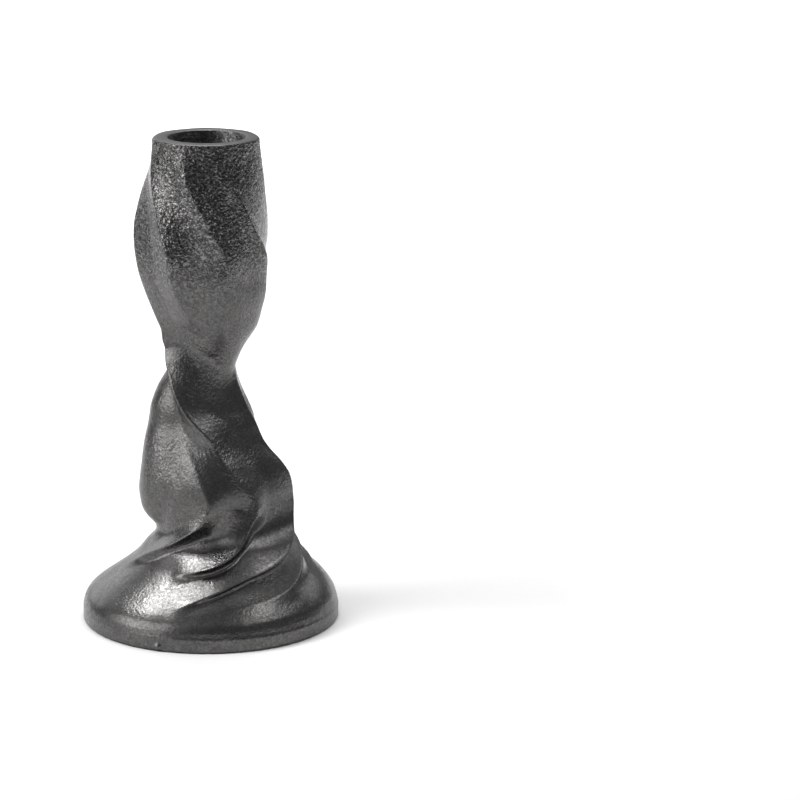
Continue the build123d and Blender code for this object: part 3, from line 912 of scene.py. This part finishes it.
    def outer(self, level: np.ndarray, azimuth: np.ndarray) -> np.ndarray:
        """Radius of the skin: flute floors, plus each fold and the lobe, worked out band by band up the skin.

        The waist's narrowing is lowered by its share of lean times the sum of the tip times the sine of the
        azimuth and the swing times the sine of twice the azimuth past its turn.

        Args:
            level: One height for each ring.
            azimuth: Azimuths in degrees, by ring and column.

        Returns:
            The radii, by ring and column.
        """
        around = azimuth.shape[1]
        folds = [(self.dense_path(rows), False) for rows in PATH_SHARES.values()]
        folds.append((self.dense_path(LOBE_SHARES), True))
        bands = []
        for start in range(0, len(level), self.rings_at_once):
            band = slice(start, start + self.rings_at_once)
            height = np.repeat(level[band], around)
            where = azimuth[band].ravel()
            radius = self.floor_radius(height)
            rise = self.floor_radius(height + self.slope_step) - self.floor_radius(height - self.slope_step)
            slant = np.hypot(1, np.minimum(abs(rise) / (2 * self.slope_step), self.steepest_slope))
            turn = np.radians(where)
            swing = self.waist_swing * np.sin(2 * (turn - np.radians(self.waist_turn)))
            lean = self.column_share(height, 3) * (self.waist_tip * np.sin(turn) + swing)
            outer = self.floor_radius(height + lean)
            spot = Places(height, where, radius, slant)
            for path, rounded in folds:
                outer += self.stand(path, rounded, spot)
            bands.append(outer.reshape(-1, around))
        return np.concatenate(bands)


@dataclass
class TwistedCasting:
    """The one cast piece: column, foot and lip, with its socket, its hollow and the felt's recess.

    The mesh has closer rings up to the top of the swirl of folds on the foot, and closer columns in front.
    """

    overall_height: float = 144.5 * MM
    foot_radius: float = 38.0 * MM
    socket_radius: float = 11.25 * MM
    socket_depth: float = 25.0 * MM
    rim_wall: float = 3.6 * MM
    edge_break: float = 0.3 * MM
    rim_wear: float = 0.55 * MM
    felt_proud: float = 0.3 * MM
    lip_height: float = 4.0 * MM
    lip_step: float = 0.45 * MM
    lip_round: float = 0.35 * MM
    crease_height: float = 3.6 * MM
    crease_inset: float = 0.08 * MM
    flare_height: float = 31.0 * MM
    recess_radius: float = 35.05 * MM
    recess_depth: float = 0.85 * MM
    hollow_radius: float = 30.0 * MM
    hollow_top_radius: float = 14.0 * MM
    hollow_height: float = 22.0 * MM
    around: int = 320
    swirl_top: float = 38.0 * MM
    swirl_spacing: float = 0.25 * MM
    column_spacing: float = 0.75 * MM
    front_density: float = 0.22
    lip_rings: int = 9
    wave: float = 0.06 * MM
    wave_size: float = 6 * MM
    wave_seed: int = 11
    ripple: float = 0.027 * MM
    ripple_size: float = 2.6 * MM
    ripple_seed: int = 12
    wave_fade: float = 1.5 * MM
    skin: TwistedSkin = field(init=False)

    def __post_init__(self) -> None:
        """Make the skin from the casting's own sizes."""
        self.skin = TwistedSkin(
            self.overall_height,
            self.foot_radius,
            self.socket_radius + self.rim_wall,
            self.felt_proud + self.lip_height,
            self.lip_step,
            self.flare_height,
        )

    def azimuths(self, height: np.ndarray) -> np.ndarray:
        """Azimuths of the mesh's columns at each height: turned with the folds, and closer at the front.

        Args:
            height: One height for each ring.

        Returns:
            Azimuths in degrees, by ring and column.
        """
        rows = np.array(GRID_TURN_SHARES[::-1])
        turn = smooth(rows[:, 0] * self.overall_height, rows[:, 1], height)
        even = 360 * np.arange(self.around) / self.around
        turned = even[None] + turn[:, None]
        return turned - np.degrees(self.front_density * np.sin(np.radians(turned)))

    def round_rings(self, profile: Sequence[tuple[float, float]], azimuth: np.ndarray) -> np.ndarray:
        """Rings of a turned surface.

        Args:
            profile: Radius and height of each ring.
            azimuth: Azimuths of the columns.

        Returns:
            Points by ring and column.
        """
        turn = np.radians(azimuth)
        radius = np.array([row[0] for row in profile])[:, None]
        height = np.array([row[1] for row in profile])[:, None]
        x, y = radius * np.sin(turn), -radius * np.cos(turn)
        return np.stack([x, y, height + 0 * x], -1)

    def outside(self) -> np.ndarray:
        """Rings of the lip and of the skin over it up to the rim, with the waviness and marks of casting.

        Returns:
            Points by ring and column.
        """
        low = self.skin.lip_top
        swirl = np.linspace(low, self.swirl_top, 1 + round((self.swirl_top - low) / self.swirl_spacing))
        top = self.overall_height - self.rim_wear
        above = np.linspace(self.swirl_top, top, 1 + round((top - self.swirl_top) / self.column_spacing))
        level = np.concatenate([swirl, above[1:]])
        azimuth = self.azimuths(level)
        height = np.repeat(level[:, None], self.around, 1)
        crease = np.clip(1 - (level - low) / self.crease_height, 0, 1) ** 2
        outer = self.skin.outer(level, azimuth) + (self.lip_step - self.crease_inset) * crease[:, None]
        turn = np.radians(azimuth)
        drift = self.skin.rim_radius * self.skin.column_share(level, 2)[:, None]
        points = np.stack([drift + outer * np.sin(turn), -outer * np.cos(turn), height], -1)
        lip_levels = np.linspace(self.felt_proud + self.lip_round, low - self.lip_round, self.lip_rings)
        lip = self.round_rings([(self.foot_radius, height) for height in lip_levels], azimuth[0])
        lip_azimuth = np.repeat(azimuth[:1], len(lip), 0)
        return self.weathered(np.concatenate([lip, points]), np.concatenate([lip_azimuth, azimuth]))

    def weathered(self, points: np.ndarray, azimuth: np.ndarray) -> np.ndarray:
        """The skin moved along its normal by waves and ripples, which fade out at the lip, and by marks.

        The normal is the cross product of the grid's two differences. A mark is a bell of its own radius and
        height.

        Args:
            points: The skin's points.
            azimuth: Their azimuths.

        Returns:
            The moved points.
        """
        up = np.gradient(points, axis=0)
        round_it = np.roll(points, -1, axis=1) - np.roll(points, 1, axis=1)
        normal = np.cross(round_it, up)
        normal /= np.linalg.norm(normal, axis=-1, keepdims=True)
        move = self.wave * lumps(points, self.wave_size, self.wave_seed)
        move += self.ripple * lumps(points, self.ripple_size, self.ripple_seed)
        move *= np.clip((points[..., 2] - self.skin.lip_top) / self.wave_fade, 0, 1)
        for share, where, size, depth in BLEMISH_SHARES:
            near = np.argmin(abs(points[:, 0, 2] - share * self.overall_height))
            column = np.argmin(abs((azimuth[near] - where + 180) % 360 - 180))
            gap = np.linalg.norm(points - points[near, column], axis=-1)
            move += depth * MM * np.exp(-((gap / (size * MM)) ** 2))
        return points + normal * move[..., None]

    def rim(self, last: np.ndarray) -> np.ndarray:
        """Rings over the worn outer edge of the rim: a quarter round, from the skin to the dressed face.

        Args:
            last: The skin's uppermost ring.

        Returns:
            Points by ring and column.
        """
        steps = np.radians(np.array([18.0, 38.0, 60.0, 90.0]))
        out = last[:, :2] / np.linalg.norm(last[:, :2], axis=-1, keepdims=True)
        base = np.repeat(last[None], len(steps), 0)
        base[..., :2] -= out[None] * (self.rim_wear * (1 - np.cos(steps)))[:, None, None]
        base[..., 2] = self.overall_height - self.rim_wear * (1 - np.sin(steps))[:, None]
        return base

    def build(self) -> Any:
        """The whole casting as one closed mesh.

        Its rings run from the hollow's top out under the foot, up the skin, over the rim and down the bore.

        Returns:
            The piece.
        """
        outside = self.outside()
        rim = self.rim(outside[-1])
        low = self.azimuths(np.array([self.skin.lip_top]))
        high = self.azimuths(np.array([self.overall_height]))
        proud, ledge = self.felt_proud, self.felt_proud + self.recess_depth
        hollow_top = ledge + self.hollow_height
        foot, corner = self.foot_radius, self.lip_round
        # Radius and height of each ring, with small rounds at the corners
        under = [
            (self.hollow_top_radius * 0.5, hollow_top),
            (self.hollow_top_radius - 1.5 * MM, hollow_top),
            (self.hollow_top_radius - 0.4 * MM, hollow_top - 0.4 * MM),
            (self.hollow_top_radius + 0.5 * MM, hollow_top - 1.5 * MM),
            ((self.hollow_top_radius + self.hollow_radius) / 2, (hollow_top + ledge) / 2),
            (self.hollow_radius - 0.3 * MM, ledge + 0.5 * MM),
            (self.hollow_radius, ledge),
            (self.recess_radius - 0.1 * MM, ledge),
            (self.recess_radius, ledge - 0.1 * MM),
            (self.recess_radius, proud + 0.15 * MM),
            (self.recess_radius + 0.15 * MM, proud),
            (foot - corner, proud),
            (foot - 0.1 * MM, proud + 0.1 * MM),
        ]
        depth = self.overall_height - self.socket_depth
        bore = self.socket_radius
        socket = [
            (bore + self.edge_break + 0.15 * MM, self.overall_height),
            (bore + self.edge_break, self.overall_height - 0.05 * MM),
            (bore, self.overall_height - self.edge_break),
            (bore, self.overall_height - self.socket_depth / 2),
            (bore, depth + 1.2 * MM),
            (bore - 0.35 * MM, depth + 0.35 * MM),
            (bore - 1.2 * MM, depth),
            (bore * 0.5, depth),
        ]
        rings = np.concatenate([self.round_rings(under, low), outside, rim, self.round_rings(socket, high)])
        first_pole, last_pole = np.array([0.0, 0.0, hollow_top]), np.array([0.0, 0.0, depth])
        casting = closed_grid("cast_column_and_foot", rings, first_pole, last_pole)
        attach(casting, "root")
        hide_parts("twisted_casting")
        return casting

    def dress(self, casting: Any) -> None:
        """Give the casting its finish."""
        iron = BlackenedIron(self.overall_height, self.socket_radius)
        casting.data.materials.append(iron.material())


@dataclass
class FeltBase:
    """The felt that the holder rests on, and the adhesive that holds it."""

    radius: float = 34.8 * MM
    thickness: float = 1.0 * MM
    edge: float = 0.25 * MM
    fuzz: float = 0.06 * MM
    fuzz_size: float = 0.9 * MM
    fuzz_seed: int = 21
    rings: int = 70
    edge_rings: int = 7
    around: int = 220

    def build(self) -> Any:
        """The felt disc: flat faces with a soft nap that only goes inwards, and a rounded, ragged edge.

        The surface is swept from the centre of the top over the edge to the centre of the bottom.

        Returns:
            The piece.
        """
        across = np.linspace(0.02, 1, self.rings) * (self.radius - self.edge)
        bend = np.radians(np.linspace(0, 180, self.edge_rings + 2))[1:-1]
        round_radius = self.radius - self.edge + self.edge * np.sin(bend)
        half = self.thickness / 2
        round_height = half + (half - self.edge) * np.sign(np.cos(bend)) + self.edge * np.cos(bend)
        radius = np.concatenate([across, round_radius, across[::-1]])
        height = np.concatenate([0 * across + self.thickness, round_height, 0 * across])
        turn = 2 * np.pi * np.arange(self.around) / self.around
        x = radius[:, None] * np.sin(turn)
        y = -radius[:, None] * np.cos(turn)
        points = np.stack([x, y, height[:, None] + 0 * x], -1)
        nap = self.fuzz * (0.5 + 0.5 * lumps(points, self.fuzz_size, self.fuzz_seed))
        inward = np.where(points[..., 2] > half, -1.0, 1.0) * (radius < self.radius - self.edge)[:, None]
        points[..., 2] += nap * inward
        ragged = 1 - nap / self.radius * (radius >= self.radius - self.edge)[:, None]
        points[..., :2] *= ragged[..., None]
        felt = closed_grid(
            "pressed_felt_disc", points, np.array([0.0, 0.0, self.thickness]), np.array([0.0, 0.0, 0.0])
        )
        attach(felt, "root")
        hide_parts("felt_disc")
        flat = 2 * self.radius
        float(np.pi * self.radius**2)
        return felt

    def dress(self, felt: Any, film: Any) -> None:
        """Give the felt and its adhesive their finishes.

        Args:
            felt: The felt piece.
            film: The adhesive's own solid.
        """
        felt.data.materials.append(PressedFelt().material())
        finish = AdhesiveLayer().material()
        for slot in film.material_slots:
            slot.material = finish


class Reach(Enum):
    """What a light falls on: all surfaces, only shiny ones, or only matt ones, such as the floor."""

    ALL = "all"
    SHINY = "shiny"
    MATT = "matt"


class Light(Enum):
    """The studio's lights.

    Each has its azimuth and height in degrees and its distance from what it looks at, its width and length,
    watts, spread in degrees, how far behind the holder it looks, and its reach. Highlights from the left and
    the shadow on the floor come from different lights, so that each can be where it is wanted.
    """

    LEFT_KEY = (-114.0, 58.0, 1.2, 0.40, 0.34, 0.42, 40.0, 0.0, Reach.SHINY)
    LEFT_SHADE = (-77.0, 48.0, 1.2, 0.54, 0.52, 2.60, 90.0, 0.0, Reach.MATT)
    LEFT_WALL = (-71.0, 22.0, 1.2, 1.40, 0.80, 2.40, 76.0, 0.0, Reach.SHINY)
    BACK_LEFT = (-150.0, 16.0, 1.3, 1.10, 0.60, 0.62, 80.0, 0.0, Reach.ALL)
    FRONT = (-30.0, 50.0, 1.5, 1.60, 1.00, 0.34, 80.0, 0.0, Reach.ALL)
    RIGHT_SIDE = (70.0, 47.0, 1.3, 1.30, 0.46, 0.76, 66.0, 0.0, Reach.ALL)
    OVERHEAD = (172.0, 74.0, 1.4, 0.90, 0.90, 0.30, 50.0, 0.0, Reach.ALL)
    BACK_RIGHT = (132.0, 26.0, 1.3, 0.80, 0.50, 0.30, 80.0, 0.0, Reach.ALL)
    FLOOR_WASH = (20.0, 70.0, 1.5, 1.60, 1.60, 2.55, 120.0, 0.0, Reach.MATT)
    BACK_FLOOR = (0.0, 88.0, 1.3, 0.90, 0.90, 8.60, 84.0, 1.02, Reach.ALL)


@dataclass
class Studio:
    """A pale floor, soft lights and the camera.

    Angles are in degrees, and the lens and its sensor in millimetres.
    """

    distance: float = 0.9502
    camera_height: float = 0.3078
    pitch: float = 14.283
    yaw: float = 3.386
    roll: float = -0.308
    lens: float = 149.7
    sensor: float = 36.0
    sight: float = 50.0
    aim_height: float = 60 * MM
    floor_size: float = 12.0
    sky: float = 0.16

    def build_floor(self) -> Any:
        """The floor: a large square of paper, of four faces on a grid.

        Returns:
            The floor.
        """
        steps = np.linspace(-0.5, 0.5, 3) * self.floor_size
        x, y = np.meshgrid(steps, steps)
        points = np.stack([x, y, 0 * x], -1).reshape(-1, 3)
        faces = [(0, 1, 4, 3), (1, 2, 5, 4), (3, 4, 7, 6), (4, 5, 8, 7)]
        mesh = bpy.data.meshes.new("studio_floor")
        mesh.from_pydata(points.tolist(), [], faces)
        floor = bpy.data.objects.new("studio_floor", mesh)
        bpy.context.scene.collection.objects.link(floor)
        mesh.materials.append(StudioPaper().material())
        return floor

    def build_lights(self) -> None:
        """Oblong soft lights, each with a grid that narrows its spread."""
        for light in Light:
            azimuth, elevation, distance, width, length, watts, spread, behind, reach = light.value
            middle = Vector((0.0, behind, self.aim_height))
            turn, lift = np.radians(azimuth), np.radians(elevation)
            way = Vector((np.sin(turn) * np.cos(lift), -np.cos(turn) * np.cos(lift), np.sin(lift)))
            data = bpy.data.lights.new(light.name.lower(), "AREA")
            data.shape = "RECTANGLE"
            data.size = width
            data.size_y = length
            data.energy = watts
            data.spread = np.radians(spread)
            lamp = bpy.data.objects.new(light.name.lower(), data)
            lamp.location = middle + way * distance
            lamp.rotation_euler = (-way).to_track_quat("-Z", "Y").to_euler()
            lamp.visible_camera = False
            lamp.visible_diffuse = reach is not Reach.SHINY
            lamp.visible_glossy = reach is not Reach.MATT
            bpy.context.scene.collection.objects.link(lamp)

    def build_sky(self) -> None:
        """An even grey surround."""
        world = bpy.data.worlds.new("studio_surround")
        world.use_nodes = True
        background = world.node_tree.nodes["Background"]
        background.inputs["Color"].default_value = (1.0, 1.0, 1.0, 1.0)
        background.inputs["Strength"].default_value = self.sky
        bpy.context.scene.world = world
        bpy.context.scene.view_settings.view_transform = "Standard"

    def build_camera(self) -> None:
        """The camera: its axes are built from its yaw, its pitch downwards and its roll."""
        yaw, pitch, roll = np.radians([self.yaw, self.pitch, self.roll])
        ahead = np.array([np.sin(yaw), np.cos(yaw), 0.0])
        level = np.array([np.cos(yaw), -np.sin(yaw), 0.0])
        upright = ahead * np.sin(pitch) + np.array([0.0, 0.0, np.cos(pitch)])
        forward = ahead * np.cos(pitch) - np.array([0.0, 0.0, np.sin(pitch)])
        right = level * np.cos(roll) - upright * np.sin(roll)
        up = level * np.sin(roll) + upright * np.cos(roll)
        data = bpy.data.cameras.new("camera")
        data.lens = self.lens
        data.sensor_width = self.sensor
        data.clip_end = self.sight
        camera = bpy.data.objects.new("camera", data)
        axes = Matrix((right.tolist(), up.tolist(), (-forward).tolist())).transposed()
        camera.rotation_euler = axes.to_euler()
        camera.location = (0.0, -self.distance, self.camera_height)
        bpy.context.scene.collection.objects.link(camera)
        bpy.context.scene.camera = camera

    def build(self) -> None:
        """The whole studio."""
        self.build_floor()
        self.build_lights()
        self.build_sky()
        self.build_camera()


def main() -> None:
    """Load the frame, build and dress each piece in turn, and report it."""
    logging.basicConfig(level=logging.INFO, format="%(message)s")
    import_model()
    Studio().build()
    casting_maker = TwistedCasting()
    casting = casting_maker.build()
    casting_maker.dress(casting)
    LOG.info("casting: %d faces", len(casting.data.polygons))
    base_maker = FeltBase()
    felt = base_maker.build()
    base_maker.dress(felt, bpy.data.objects["adhesive_film"])
    LOG.info("felt: %d faces", len(felt.data.polygons))


if __name__ == "__main__":
    main()
